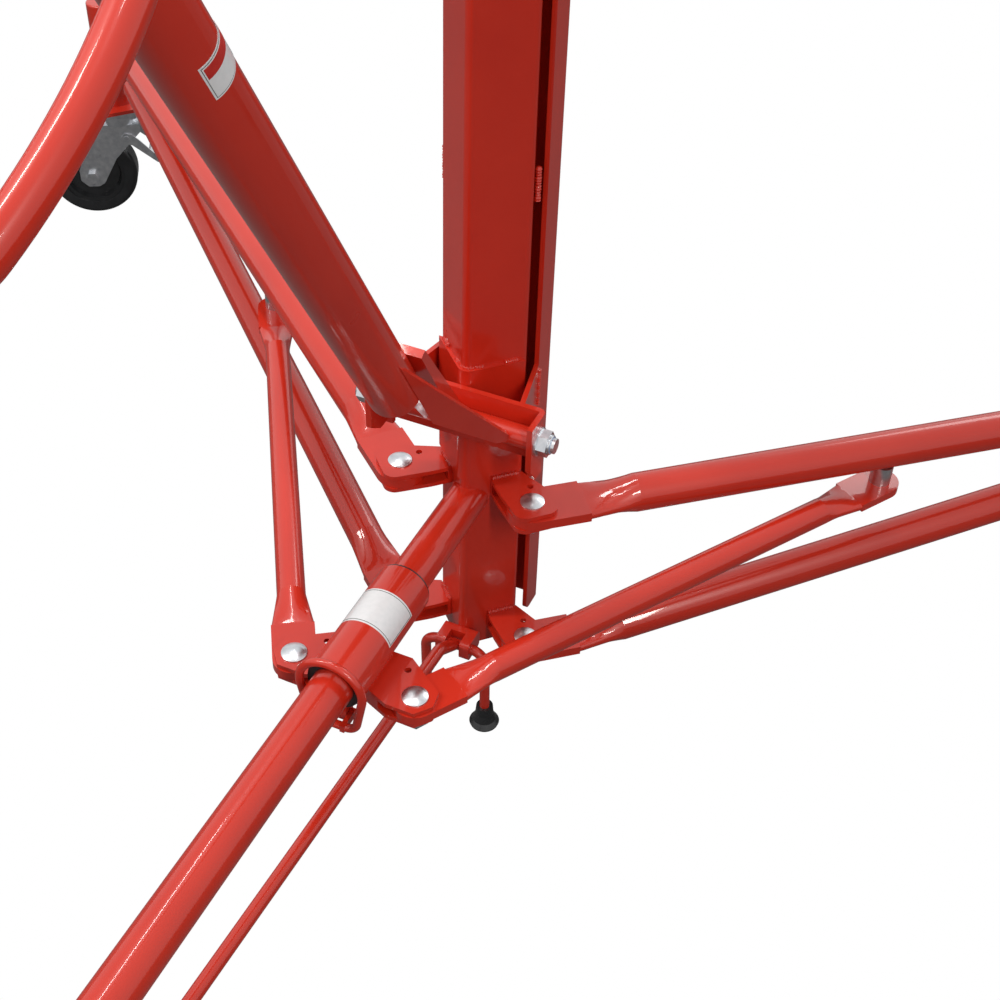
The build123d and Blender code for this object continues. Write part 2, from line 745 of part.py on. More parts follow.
with BuildPart() as drawbar_cap:
    with BuildSketch(bar_plane.offset(bar_length)):
        Circle(bar_od / 2)
    extrude(amount=4)
    fillet(drawbar_cap.edges().group_by(Axis.Z)[-1], 2)
    with BuildSketch(bar_plane.offset(bar_length)):
        Circle(bar_od / 2 - 3)
    extrude(amount=-14)
save("drawbar_cap", drawbar_cap.part)

# Foot: pivot tube, a strip up to the tube's front, and two wing plates that spread from
# the tube's sides to the pivot tube's ends.
shoe_half = ear_half - ear_wall - 0.5
pivot_radius = 11.5
wing_wall = 5.0
wing_toe_x = 64.0
wing_root = Vector(bar_od / 2 - 1, 0, 0) + back * bar_offset
wing_spread = Vector(wing_toe_x, 0, 0) + back * 6 - wing_root
wing_span = wing_spread.length
with BuildPart() as wing:
    with BuildSketch(Plane(origin=hinge + wing_root, x_dir=wing_spread, z_dir=wing_spread.cross(up))):
        with BuildLine():
            Polyline((0, 236), (0, 113), (0.75 * wing_span, 11), (wing_span, 0), (wing_span, 15), close=True)
        make_face()
    extrude(amount=wing_wall / 2, both=True)
with BuildPart() as drawbar_shoe:
    with BuildSketch(Plane(origin=hinge, x_dir=back, z_dir=(-1, 0, 0))):
        with BuildLine():
            Polyline((4, 0), (11.5, 0), (bar_offset - 23, 128), (bar_offset - 23, 205), (17, 205), close=True)
        make_face()
    extrude(amount=28, both=True)
    add(wing.part)
    mirror(wing.part, about=Plane.YZ)
    with Locations(hinge):
        Cylinder(pivot_radius, 2 * shoe_half, rotation=(0, 90, 0))
    with Locations(Plane(origin=hinge + back * bar_offset + up * (tube_start + 120), x_dir=(1, 0, 0), z_dir=up)):
        Cylinder(bar_od / 2, 240, mode=Mode.SUBTRACT)
    with Locations(hinge):
        Cylinder(pin_hole / 2, 220, rotation=(0, 90, 0), mode=Mode.SUBTRACT)
save("drawbar_shoe", drawbar_shoe.part)

# Hand loop in the plane square to the drawbar, coped to both of its sides.
hoop_plane = Plane(origin=hinge + back * bar_offset + up * hoop_height, x_dir=(1, 0, 0), z_dir=up)
arm_x = bar_od / 2 + hoop_od / 2 - 0.5
hoop_bow = 16.0
hoop_reach = 198.0
with BuildPart() as drawbar_hoop:
    with BuildLine(hoop_plane):
        right_arm = ThreePointArc(
            (arm_x, 10), (arm_x + hoop_bow, -hoop_reach / 2), (arm_x + hoop_bow / 2, -hoop_reach)
        )
        TangentArc(
            (arm_x + hoop_bow / 2, -hoop_reach), (-arm_x - hoop_bow / 2, -hoop_reach), tangent=right_arm % 1
        )
        ThreePointArc(
            (-arm_x - hoop_bow / 2, -hoop_reach), (-arm_x - hoop_bow, -hoop_reach / 2), (-arm_x, 10)
        )
    with BuildSketch(Plane(origin=right_arm @ 0, z_dir=right_arm % 0)):
        Circle(hoop_od / 2)
        Circle(hoop_od / 2 - 2.5, mode=Mode.SUBTRACT)
    sweep()
    with Locations(hoop_plane):
        Cylinder(bar_od / 2, 120, mode=Mode.SUBTRACT)
save("drawbar_hoop", drawbar_hoop.part)

# ------------------------------------------------------------------ parking bail
# Bent rod in a strap behind the mast's foot, with a foot lever under the tail tube.
bail_y = hub_y - 80.0
bail_z = 122.0
bail_half = 38.0
lever_radius = 7.2
lever_tilt = radians(36)
lever_rise = radians(4.1)
lever_start = Vector(0, bail_y - 3 * cos(lever_tilt), bail_z + 3 * sin(lever_tilt))
elbow = Vector(0, bail_y - 52 * cos(lever_tilt), bail_z + 52 * sin(lever_tilt))
knee = Vector(0, elbow.Y - 780 * cos(lever_rise), elbow.Z + 780 * sin(lever_rise))
tread = Vector(0, knee.Y - 270, knee.Z - 32)
with BuildPart() as bail_bar:
    with BuildLine():
        FilletPolyline(
            (-bail_half, bail_y + 3, 16),
            (-bail_half, bail_y, bail_z),
            (bail_half, bail_y, bail_z),
            (bail_half, bail_y + 3, 16),
            radius=18,
        )
    with BuildSketch(Plane(origin=(-bail_half, bail_y + 3, 16), z_dir=(0, -3, bail_z - 16))):
        Circle(6)
    sweep()
with BuildPart() as bail_lever:
    with BuildLine():
        FilletPolyline(lever_start, elbow, knee, tread, radius=16)
    with BuildSketch(Plane(origin=lever_start, z_dir=(0, -cos(lever_tilt), sin(lever_tilt)))):
        Circle(lever_radius)
    sweep()
    with Locations(tread + Vector(0, 14, 8)):
        Box(96, 44, 6, rotation=(6.7, 0, 0))
with BuildPart() as bail_rod:
    add(bail_bar.part)
    add(bail_lever.part)
save("bail_rod", bail_rod.part)

with BuildPart() as bail_foot:
    with BuildSketch(Plane.XZ):
        with BuildLine():
            Polyline((0, 0), (17, 0), (18, 3), (14, 9), (11, 18), (10, 30), (0, 30), close=True)
        make_face()
    revolve(axis=Axis.Z)
with BuildPart() as bail_feet:
    with Locations((bail_half, bail_y + 3, 0), (-bail_half, bail_y + 3, 0)):
        add(bail_foot.part)
    add(bail_rod.part, mode=Mode.SUBTRACT)
save("bail_feet", bail_feet.part)

with BuildPart() as bail_strap:
    with BuildSketch(Plane.YZ.offset(-21)):
        with Locations((bail_y + 6, bail_z)):
            RectangleRounded(32, 24, 6)
        with Locations((bail_y, bail_z)):
            Circle(6.08, mode=Mode.SUBTRACT)
    extrude(amount=42)
    with BuildSketch(Plane.XY.offset(bail_z - 30)):
        with Locations((0, mast_centre_y)):
            RectangleRounded(mast_side, mast_side, mast_round, rotation=45)
    extrude(amount=60, mode=Mode.SUBTRACT)
    with Locations((0, bail_y - 9, bail_z + 6)):
        Box(18, 36, 36, mode=Mode.SUBTRACT)
save("bail_strap", bail_strap.part)

# ------------------------------------------------------------------ boom
# Box tube on the mast head, hangers for the ram underneath and a sliding extension.
boom_rear_y = boom_pivot_y - 25
boom_low_z = boom_pivot_z - boom_height / 2
with BuildPart() as boom_tube:
    with BuildSketch(Plane.XZ.offset(-boom_rear_y)):
        with Locations((0, boom_pivot_z)):
            RectangleRounded(boom_width, boom_height, 6)
            RectangleRounded(boom_width - 8, boom_height - 8, 3, mode=Mode.SUBTRACT)
    extrude(amount=boom_rear_y - boom_tip_y)
    with Locations((0, boom_pivot_y, boom_pivot_z)):
        Cylinder(14, channel_width - 1, rotation=(0, 90, 0))
        Cylinder(pin_hole / 2, 200, rotation=(0, 90, 0), mode=Mode.SUBTRACT)
    with BuildSketch(Plane.YZ.offset(boom_width / 2)):
        with Locations((boom_tip_y - 60, boom_pivot_z)):
            RegularPolygon(13, 6, major_radius=False)
    extrude(amount=12)
    with Locations((boom_width / 2, boom_tip_y - 60, boom_pivot_z)):
        Cylinder(6.08, 40, rotation=(0, 90, 0), mode=Mode.SUBTRACT)
save("boom_tube", boom_tube.part)

with BuildPart() as boom_hanger:
    with BuildSketch(Plane.YZ.offset(25)):
        with BuildLine():
            Polyline(
                (ram_head_y - 70, boom_low_z),
                (ram_head_y - 20, ram_head_z - 14),
                (ram_head_y - 10, ram_head_z - 22),
                (ram_head_y + 10, ram_head_z - 22),
                (ram_head_y + 20, ram_head_z - 14),
                (ram_head_y + 70, boom_low_z),
                close=True,
            )
        make_face()
        with Locations((ram_head_y, ram_head_z)):
            Circle(pin_hole / 2, mode=Mode.SUBTRACT)
    extrude(amount=plate_6)
save("boom_hangers", both_sides(boom_hanger.part))

# Shoulder bolts: each boss stops just short of the ram's eye.
with BuildPart() as hanger_bolt:
    with BuildSketch(Plane.YZ.offset(25 + plate_6)):
        with Locations((ram_head_y, ram_head_z)):
            RegularPolygon(12, 6, major_radius=False)
    extrude(amount=9)
    with Locations((25 + plate_6, ram_head_y, ram_head_z)):
        Cylinder(
            pin_d / 2, plate_6, rotation=(0, 90, 0), align=(Align.CENTER, Align.CENTER, Align.MAX)
        )
    with Locations((25, ram_head_y, ram_head_z)):
        Cylinder(13, 2.5, rotation=(0, 90, 0), align=(Align.CENTER, Align.CENTER, Align.MAX))
save("hanger_bolts", both_sides(hanger_bolt.part))

slide_width = boom_width - 8 - 1.2
slide_height = boom_height - 8 - 1.2
hook_y = extension_tip_y - 34
with BuildPart() as boom_extension:
    with BuildSketch(Plane.XZ.offset(-(hub_y + 200))):
        with Locations((0, boom_pivot_z)):
            RectangleRounded(slide_width, slide_height, 4)
            RectangleRounded(slide_width - 8, slide_height - 8, 2, mode=Mode.SUBTRACT)
    extrude(amount=hub_y + 200 - extension_tip_y)
    with Locations((0, hook_y, boom_pivot_z)):
        Cylinder(pin_hole / 2, 200, rotation=(0, 90, 0), mode=Mode.SUBTRACT)
    with Locations((0, extension_tip_y - 30, boom_pivot_z - slide_height / 2)):
        Box(30, 120, 50, mode=Mode.SUBTRACT)
save("boom_extension", boom_extension.part)
save("tip_bolt", cross_bolt(hook_y, boom_pivot_z, slide_width / 2))

# T screw that clamps the extension: its point stops at the extension's side.
screw_y = boom_tip_y - 60
with BuildPart() as clamp_screw:
    with Locations((slide_width / 2 + 0.3, screw_y, boom_pivot_z)):
        Cylinder(6, 40, rotation=(0, 90, 0), align=(Align.CENTER, Align.CENTER, Align.MIN))
    with Locations((slide_width / 2 + 36, screw_y, boom_pivot_z)):
        Cylinder(9, 12, rotation=(0, 90, 0))
        Cylinder(4, 76)
save("clamp_screw", clamp_screw.part)


def chain_link(rod, inner_length, inner_width):
    """Oval link in the XZ plane, centred on the origin."""
    half = inner_width / 2 + rod
    run = (inner_length - inner_width) / 2
    with BuildPart() as link:
        with BuildLine(Plane.XZ):
            Line((half, -run), (half, run))
            ThreePointArc((half, run), (0, run + half), (-half, run))
            Line((-half, run), (-half, -run))
            ThreePointArc((-half, -run), (0, -run - half), (half, -run))
        with BuildSketch(Plane(origin=(half, 0, -run), z_dir=(0, 0, 1))):
            Circle(rod)
        sweep()
    return link.part


# Chain: one long link over the tip bolt, then three short ones, each a quarter turn on.
link_rod = 4.5
long_inner = 92.0
short_inner = 34.0
link_play = 0.4
centre_z = boom_pivot_z + pin_d / 2 + link_play - long_inner / 2
with BuildPart() as hoist_chain:
    with Locations(Location((0, hook_y, centre_z), (0, 0, 90))):
        add(chain_link(link_rod, long_inner, pin_d + 3))
    centre_z += link_play - long_inner / 2 - short_inner / 2
    for turn in (0, 90, 0):
        with Locations(Location((0, hook_y, centre_z), (0, 0, turn))):
            add(chain_link(link_rod, short_inner, 14))
        centre_z += link_play - short_inner
save("hoist_chain", hoist_chain.part)

# Hook: ring, collar and bowl in one forging.
ring_inner = 14.0
ring_rod = 5.0
ring_z = centre_z + short_inner / 2 - ring_inner
shank_z = ring_z - ring_inner - 2 * ring_rod
with BuildPart() as hook:
    with BuildSketch(Plane.XY.offset(ring_z)):
        with Locations((0, hook_y + ring_inner + ring_rod)):
            Circle(ring_rod)
    revolve(axis=Axis((0, hook_y, ring_z), (1, 0, 0)))
    with Locations((0, hook_y, shank_z - 6)):
        Cylinder(10, 20)
    with BuildLine(Plane.YZ) as hook_line:
        Spline(
            (hook_y, shank_z - 12),
            (hook_y - 26, shank_z - 62),
            (hook_y + 2, shank_z - 90),
            (hook_y + 32, shank_z - 52),
            tangents=((0, -1), (0.2, 1)),
        )
    with BuildSketch(Plane(origin=(0, hook_y, shank_z - 12), z_dir=(0, 0, -1))):
        Circle(7)
    sweep()
save("hook", hook.part)

# ------------------------------------------------------------------ ram
# Bottle ram between the channel's front and the boom, with its pump on the right.
ram_run = hypot(ram_head_y - ram_foot_y, ram_head_z - ram_foot_z)
ram_axis = Vector(0, ram_head_y - ram_foot_y, ram_head_z - ram_foot_z).normalized()
ram_plane = Plane(origin=(0, ram_foot_y, ram_foot_z), x_dir=(1, 0, 0), z_dir=ram_axis)
with BuildPart() as ram_bracket:
    with BuildSketch(Plane.YZ.offset(25)):
        with BuildLine():
            Polyline(
                (channel_front_y, 905),
                (ram_foot_y + 6, ram_foot_z - 20),
                (ram_foot_y + 18, ram_foot_z - 8),
                (ram_foot_y + 18, ram_foot_z + 10),
                (ram_foot_y + 4, ram_foot_z + 20),
                (channel_front_y, 990),
                close=True,
            )
        make_face()
        with Locations((ram_foot_y, ram_foot_z)):
            Circle(pin_hole / 2, mode=Mode.SUBTRACT)
    extrude(amount=plate_6)
    mirror(about=Plane.YZ)
    with Locations((0, channel_front_y + 2.5, 947)):
        Box(60, 5, 100)
save("ram_bracket", ram_bracket.part)
save("ram_bolt", cross_bolt(ram_foot_y, ram_foot_z, 25 + plate_6))

barrel_top = 380.0
with BuildPart() as ram_barrel:
    with BuildSketch(ram_plane.offset(30)):
        Circle(ram_od / 2)
    extrude(amount=barrel_top - 30)
    with BuildSketch(ram_plane.offset(30)):
        RectangleRounded(60, 68, 6)
    extrude(amount=34)
    with BuildSketch(ram_plane):
        Rectangle(44, 36)
    extrude(amount=30)
    with Locations((0, ram_foot_y, ram_foot_z)):
        Cylinder(20, 44, rotation=(0, 90, 0))
    with BuildSketch(ram_plane.offset(64)):
        Circle(rod_od / 2 + 9)
    extrude(amount=barrel_top - 64, mode=Mode.SUBTRACT)
    with Locations((0, ram_foot_y, ram_foot_z)):
        Cylinder(pin_hole / 2, 80, rotation=(0, 90, 0), mode=Mode.SUBTRACT)
with BuildPart() as ram_gland:
    with BuildSketch(ram_plane.offset(barrel_top)):
        Circle(36)
        Circle(rod_od / 2 + 0.06, mode=Mode.SUBTRACT)
    extrude(amount=16)
save("ram_barrel", Compound(children=[ram_barrel.part, ram_gland.part]))

rod_length = 350.0
with BuildPart() as ram_rod:
    with BuildSketch(ram_plane.offset(ram_run - rod_length)):
        Circle(rod_od / 2 + 8.94)
    extrude(amount=14)
    with BuildSketch(ram_plane.offset(ram_run - rod_length)):
        Circle(rod_od / 2)
    extrude(amount=rod_length - 10)
    with Locations((0, ram_head_y, ram_head_z)):
        Cylinder(19, 44, rotation=(0, 90, 0))
        Cylinder(pin_hole / 2 + 0.2, 80, rotation=(0, 90, 0), mode=Mode.SUBTRACT)
save("ram_rod", ram_rod.part)

# Pump block on the ram's right side, with its plunger guide and two lever ears.
with BuildPart() as pump_body:
    with BuildSketch(ram_plane.offset(34)):
        with Locations((50, 0)):
            RectangleRounded(44, 52, 5)
    extrude(amount=54)
    with BuildSketch(ram_plane.offset(88)):
        with Locations((60, 0)):
            Circle(9)
    extrude(amount=14)
    with BuildSketch(ram_plane.offset(78)):
        with Locations((43, -16), (43, 16)):
            Rectangle(20, 5)
    extrude(amount=56)
    with BuildSketch(ram_plane.offset(30)):
        Circle(ram_od / 2)
        RectangleRounded(60, 68, 6)
    extrude(amount=34, mode=Mode.SUBTRACT)
    with BuildSketch(ram_plane.offset(64)):
        Circle(ram_od / 2)
    extrude(amount=120, mode=Mode.SUBTRACT)
    with Locations(ram_plane):
        with Locations((44, 0, 124)):
            Cylinder(4.06, 80, rotation=(90, 0, 0), mode=Mode.SUBTRACT)
save("pump_body", pump_body.part)

# Pump lever: cross pin, fork arm, plunger head and a socket with its long handle.
lever_plane = Plane(
    origin=ram_plane.from_local_coords((44, 0, 124)),
    x_dir=ram_plane.x_dir,
    z_dir=ram_plane.y_dir,
)
lever_angle = radians(28)
socket_dir = ram_plane.x_dir * cos(lever_angle) + ram_plane.z_dir * sin(lever_angle)
socket_plane = Plane(origin=lever_plane.origin + socket_dir * 34, z_dir=socket_dir)
with BuildPart() as pump_socket:
    with Locations(lever_plane):
        Cylinder(4, 44)
        Cylinder(10, 24)
    with BuildSketch(Plane(origin=lever_plane.origin, x_dir=lever_plane.z_dir, z_dir=socket_dir)):
        Rectangle(20, 12)
    extrude(amount=40)
    with BuildSketch(socket_plane):
        Circle(17)
    extrude(amount=110)
    with BuildSketch(socket_plane.offset(10)):
        Circle(13)
    extrude(amount=110, mode=Mode.SUBTRACT)
with BuildPart() as pump_bar:
    with BuildSketch(socket_plane.offset(10)):
        Circle(12.9)
    extrude(amount=420)
    fillet(pump_bar.edges().group_by(Axis.X)[-1], 3)
save("pump_lever", Compound(children=[pump_socket.part, pump_bar.part]))

print("written")
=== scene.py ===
import json
from math import pi, radians, sin, sqrt

import bmesh
import bpy
from mathutils import Matrix, Quaternion, Vector


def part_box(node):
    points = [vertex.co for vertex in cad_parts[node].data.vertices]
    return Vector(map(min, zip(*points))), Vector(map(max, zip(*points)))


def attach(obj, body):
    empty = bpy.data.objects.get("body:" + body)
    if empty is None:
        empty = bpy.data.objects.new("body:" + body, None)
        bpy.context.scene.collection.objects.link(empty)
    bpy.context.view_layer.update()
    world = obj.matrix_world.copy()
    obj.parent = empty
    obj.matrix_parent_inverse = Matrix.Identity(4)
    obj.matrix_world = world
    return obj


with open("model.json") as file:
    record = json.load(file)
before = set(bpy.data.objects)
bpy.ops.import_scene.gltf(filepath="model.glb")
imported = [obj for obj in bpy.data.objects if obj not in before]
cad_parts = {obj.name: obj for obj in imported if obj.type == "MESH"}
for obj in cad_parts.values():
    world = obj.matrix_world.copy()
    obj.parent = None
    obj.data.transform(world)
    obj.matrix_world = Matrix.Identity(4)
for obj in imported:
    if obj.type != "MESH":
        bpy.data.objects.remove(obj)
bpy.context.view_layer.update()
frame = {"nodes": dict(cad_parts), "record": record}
scene = bpy.context.scene
scene.view_settings.view_transform = "Standard"

# ---------------------------------------------------------------- camera
# The camera stands behind the mast and above the tail tube, a little to the operator's right.
# It looks down at the hub, where the legs, the yoke and the drawbar meet.
camera_place = (0.5056, -0.85393, 1.400)
look_right = Vector((0.91218, 0.40900, 0.02541)).normalized()
look_up = Vector((-0.28844, 0.59680, 0.74876)).normalized()
look_back = look_right.cross(look_up)
camera_data = bpy.data.cameras.new("camera")
camera_data.sensor_width = 36
camera_data.lens = 54
camera_data.clip_end = 40
camera = bpy.data.objects.new("camera", camera_data)
scene.collection.objects.link(camera)
camera_turn = Matrix((look_right, look_up, look_back)).transposed().to_4x4()
camera.matrix_world = Matrix.Translation(camera_place) @ camera_turn
scene.camera = camera

# ---------------------------------------------------------------- backdrop
# White paper all round: the camera, the gloss of the paint and the metal see it plain white,
# while it lights the crane only softly.
world = bpy.data.worlds.new("studio")
scene.world = world
world.use_nodes = True
tree = world.node_tree
tree.nodes.clear()
soft_light = tree.nodes.new("ShaderNodeBackground")
soft_light.inputs["Color"].default_value = (0.93, 0.96, 1.0, 1)
soft_light.inputs["Strength"].default_value = 0.34
white_paper = tree.nodes.new("ShaderNodeBackground")
white_paper.inputs["Color"].default_value = (1, 1, 1, 1)
white_paper.inputs["Strength"].default_value = 1.0
ray = tree.nodes.new("ShaderNodeLightPath")
mirrored = tree.nodes.new("ShaderNodeMath")
mirrored.operation = "MAXIMUM"
seen = tree.nodes.new("ShaderNodeMath")
seen.operation = "MAXIMUM"
choice = tree.nodes.new("ShaderNodeMixShader")
sky = tree.nodes.new("ShaderNodeOutputWorld")
tree.links.new(ray.outputs["Is Glossy Ray"], mirrored.inputs[0])
tree.links.new(ray.outputs["Is Transmission Ray"], mirrored.inputs[1])
tree.links.new(ray.outputs["Is Camera Ray"], seen.inputs[0])
tree.links.new(mirrored.outputs[0], seen.inputs[1])
tree.links.new(seen.outputs[0], choice.inputs["Fac"])
tree.links.new(soft_light.outputs[0], choice.inputs[1])
tree.links.new(white_paper.outputs[0], choice.inputs[2])
tree.links.new(choice.outputs[0], sky.inputs["Surface"])

# ---------------------------------------------------------------- floor
# A sheet of paper under the casters. The camera alone sees it white; to the crane it is a
# darker matt floor, so that it doesn't throw light up at the undersides.
floor_half_width = 9
floor_drop = 0.0015
bm = bmesh.new()
bmesh.ops.create_grid(bm, x_segments=1, y_segments=1, size=floor_half_width)
floor_mesh = bpy.data.meshes.new("floor")
bm.to_mesh(floor_mesh)
bm.free()
floor = bpy.data.objects.new("floor", floor_mesh)
floor.location.z = -floor_drop
scene.collection.objects.link(floor)
floor_paper = bpy.data.materials.new("floor_paper")
floor_paper.use_nodes = True
tree = floor_paper.node_tree
tree.nodes.clear()
matt = tree.nodes.new("ShaderNodeBsdfDiffuse")
matt.inputs["Color"].default_value = (0.16, 0.16, 0.16, 1)
glow = tree.nodes.new("ShaderNodeEmission")
glow.inputs["Strength"].default_value = 1.0
ray = tree.nodes.new("ShaderNodeLightPath")
choice = tree.nodes.new("ShaderNodeMixShader")
ground = tree.nodes.new("ShaderNodeOutputMaterial")
tree.links.new(ray.outputs["Is Camera Ray"], choice.inputs["Fac"])
tree.links.new(matt.outputs[0], choice.inputs[1])
tree.links.new(glow.outputs[0], choice.inputs[2])
tree.links.new(choice.outputs[0], ground.inputs["Surface"])
floor_mesh.materials.append(floor_paper)

# ---------------------------------------------------------------- lamps
# Narrow strip lamps over both shoulders of the operator and straight above, which draw thin
# streaks along the tubes, and one wide lamp beyond the mast.
warm_white = (1.0, 0.97, 0.92)
plain_white = (1, 1, 1)


def strip_lamp(name, place, aim, width, length, power, colour):
    """Rectangular studio lamp at place, facing aim."""
    data = bpy.data.lights.new(name, "AREA")
    data.shape = "RECTANGLE"
    data.size = width
    data.size_y = length
    data.energy = power
    data.color = colour
    lamp = bpy.data.objects.new(name, data)
    lamp.location = place
    lamp.rotation_mode = "QUATERNION"
    lamp.rotation_quaternion = (Vector(aim) - Vector(place)).to_track_quat("-Z", "Y")
    scene.collection.objects.link(lamp)


strip_lamp("key", (-2.2, -1.0, 3.3), (0, 0.2, 0.5), 0.28, 2.4, 70, warm_white)
strip_lamp("fill", (2.4, -2.0, 2.8), (0, 0.2, 0.5), 0.22, 1.8, 50, warm_white)
strip_lamp("top_strip", (-0.4, 0.6, 3.6), (0, 0.2, 0.4), 0.12, 2.6, 30, plain_white)
strip_lamp("back", (0.8, 3.4, 2.4), (0, 0.2, 0.6), 1.6, 1.0, 20, plain_white)

# ---------------------------------------------------------------- painted steelwork
# Mast, legs, braces, tail tube, yoke, drawbar, bail, boom and ram barrel are welded steel in
# one thick coat of red gloss paint, sprayed and stoved, with a faint orange peel.
slot_of_node = {entry["node"]: entry["material_slot"] for entry in frame["record"]["subparts"]}


def crane_finish(name, low, high, rough, metallic=0.0, coat=0.0, scale=40.0, bump=0.02, grain=900.0):
    """Finish whose colour and gloss wander a little between two values, over a fine relief."""
    material = bpy.data.materials.new(name)
    material.use_nodes = True
    tree = material.node_tree
    shader = tree.nodes["Principled BSDF"]
    shader.inputs["Metallic"].default_value = metallic
    shader.inputs["Coat Weight"].default_value = coat
    shader.inputs["Coat Roughness"].default_value = 0.04
    place = tree.nodes.new("ShaderNodeTexCoord")
    cloud = tree.nodes.new("ShaderNodeTexNoise")
    cloud.inputs["Scale"].default_value = scale
    cloud.inputs["Detail"].default_value = 4.0
    colours = tree.nodes.new("ShaderNodeValToRGB")
    colours.color_ramp.elements[0].position = 0.3
    colours.color_ramp.elements[0].color = (*low, 1)
    colours.color_ramp.elements[1].position = 0.7
    colours.color_ramp.elements[1].color = (*high, 1)
    gloss = tree.nodes.new("ShaderNodeMapRange")
    gloss.inputs["To Min"].default_value = rough * 0.8
    gloss.inputs["To Max"].default_value = rough * 1.2
    peel = tree.nodes.new("ShaderNodeTexNoise")
    peel.inputs["Scale"].default_value = grain
    peel.inputs["Detail"].default_value = 2.0
    relief = tree.nodes.new("ShaderNodeBump")
    relief.inputs["Strength"].default_value = bump
    relief.inputs["Distance"].default_value = 0.0004
    tree.links.new(place.outputs["Object"], cloud.inputs["Vector"])
    tree.links.new(place.outputs["Object"], peel.inputs["Vector"])
    tree.links.new(cloud.outputs["Fac"], colours.inputs["Fac"])
    tree.links.new(cloud.outputs["Fac"], gloss.inputs["Value"])
    tree.links.new(peel.outputs["Fac"], relief.inputs["Height"])
    tree.links.new(colours.outputs["Color"], shader.inputs["Base Color"])
    tree.links.new(gloss.outputs["Result"], shader.inputs["Roughness"])
    tree.links.new(relief.outputs["Normal"], shader.inputs["Normal"])
    return material


def finish_nodes(slot_name, material):
    """Gives one finish to every CAD node that the record lists under that slot."""
    for node_name, node in frame["nodes"].items():
        if slot_of_node[node_name] == slot_name:
            for material_slot in node.material_slots:
                material_slot.material = material


red_paint = crane_finish(
    "red_paint", (0.60, 0.024, 0.009), (0.66, 0.031, 0.012), 0.30, coat=0.6, scale=9, bump=0.03, grain=420
)
red_paint.node_tree.nodes["Principled BSDF"].inputs["Specular IOR Level"].default_value = 0.3
finish_nodes("red_paint", red_paint)

# ---------------------------------------------------------------- zinc-plated fittings
# Caster forks, plates and pedals, all pins, bolts and nuts, the chain, the clamp screw and the
# pump lever are steel with bright zinc plating, slightly mottled by its crystals.
zinc = crane_finish(
    "zinc", (0.52, 0.54, 0.57), (0.70, 0.71, 0.73), 0.30, metallic=1.0, scale=120, bump=0.06, grain=1400
)
finish_nodes("zinc", zinc)

# ---------------------------------------------------------------- ram rod
# The steel rod that the pump drives out of the ram's barrel to lift the boom. It is ground,
# plated with hard chrome and polished, so that it slides through the barrel's seal.
chrome = crane_finish("chrome", (0.74, 0.74, 0.76), (0.80, 0.80, 0.82), 0.07, metallic=1.0, scale=60)
finish_nodes("chrome_rod", chrome)

# ---------------------------------------------------------------- hook
# The hook that carries the load hangs from the chain at the boom's tip. It is drop-forged
# steel, left dark from its heat treatment, with the grain of the forging die.
forged = crane_finish(
    "forged_steel", (0.045, 0.046, 0.05), (0.10, 0.10, 0.105), 0.45, metallic=0.6, scale=80, bump=0.25
)
finish_nodes("hook_steel", forged)

# ---------------------------------------------------------------- wheels and parking feet
# Black rubber, moulded with a slight shine: the casters' wheels, and the two feet that are
# pushed over the ends of the parking bail.
rubber = crane_finish("rubber", (0.015, 0.016, 0.017), (0.024, 0.025, 0.027), 0.24, scale=50, bump=0.10)
finish_nodes("black_rubber", rubber)

# ---------------------------------------------------------------- yoke bushes
# Two black plastic bushes pressed into the ends of the yoke's sleeve, which slide on the
# painted tail tube.
bush_plastic = crane_finish("bearing_plastic", (0.012, 0.012, 0.013), (0.02, 0.02, 0.021), 0.42, scale=70)
finish_nodes("black_plastic", bush_plastic)

# ---------------------------------------------------------------- stitch welds on the mast
# The square tube stands on edge in its channel, held by short fillet welds down both sides.
# They are painted over with the rest, so only their ripples show.
mast_low, mast_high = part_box("mast_tube")
mast_middle_y = (mast_low[1] + mast_high[1]) / 2
stitch_count = 4
stitch_pitch = 0.30
stitch_length = 0.036
first_stitch_z = 0.38
stitch_x = 0.0478
stitch_y = mast_middle_y + 0.007
stitch_radius = 0.0033
ripple_step = 0.0009
ripple_sides = 8
ripple_depth = 0.16
hand_drift = 0.05
end_taper = 0.55
sharp_edge = radians(35)


def add_piece(name, bm, material, body):
    """Turns a bmesh into a named piece that rides on a body, smooth but for its sharp edges."""
    bmesh.ops.recalc_face_normals(bm, faces=bm.faces)
    mesh = bpy.data.meshes.new(name)
    bm.to_mesh(mesh)
    bm.free()
    mesh.materials.append(material)
    mesh.shade_smooth()
    mesh.set_sharp_from_angle(angle=sharp_edge)
    piece = bpy.data.objects.new(name, mesh)
    scene.collection.objects.link(piece)
    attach(piece, body)


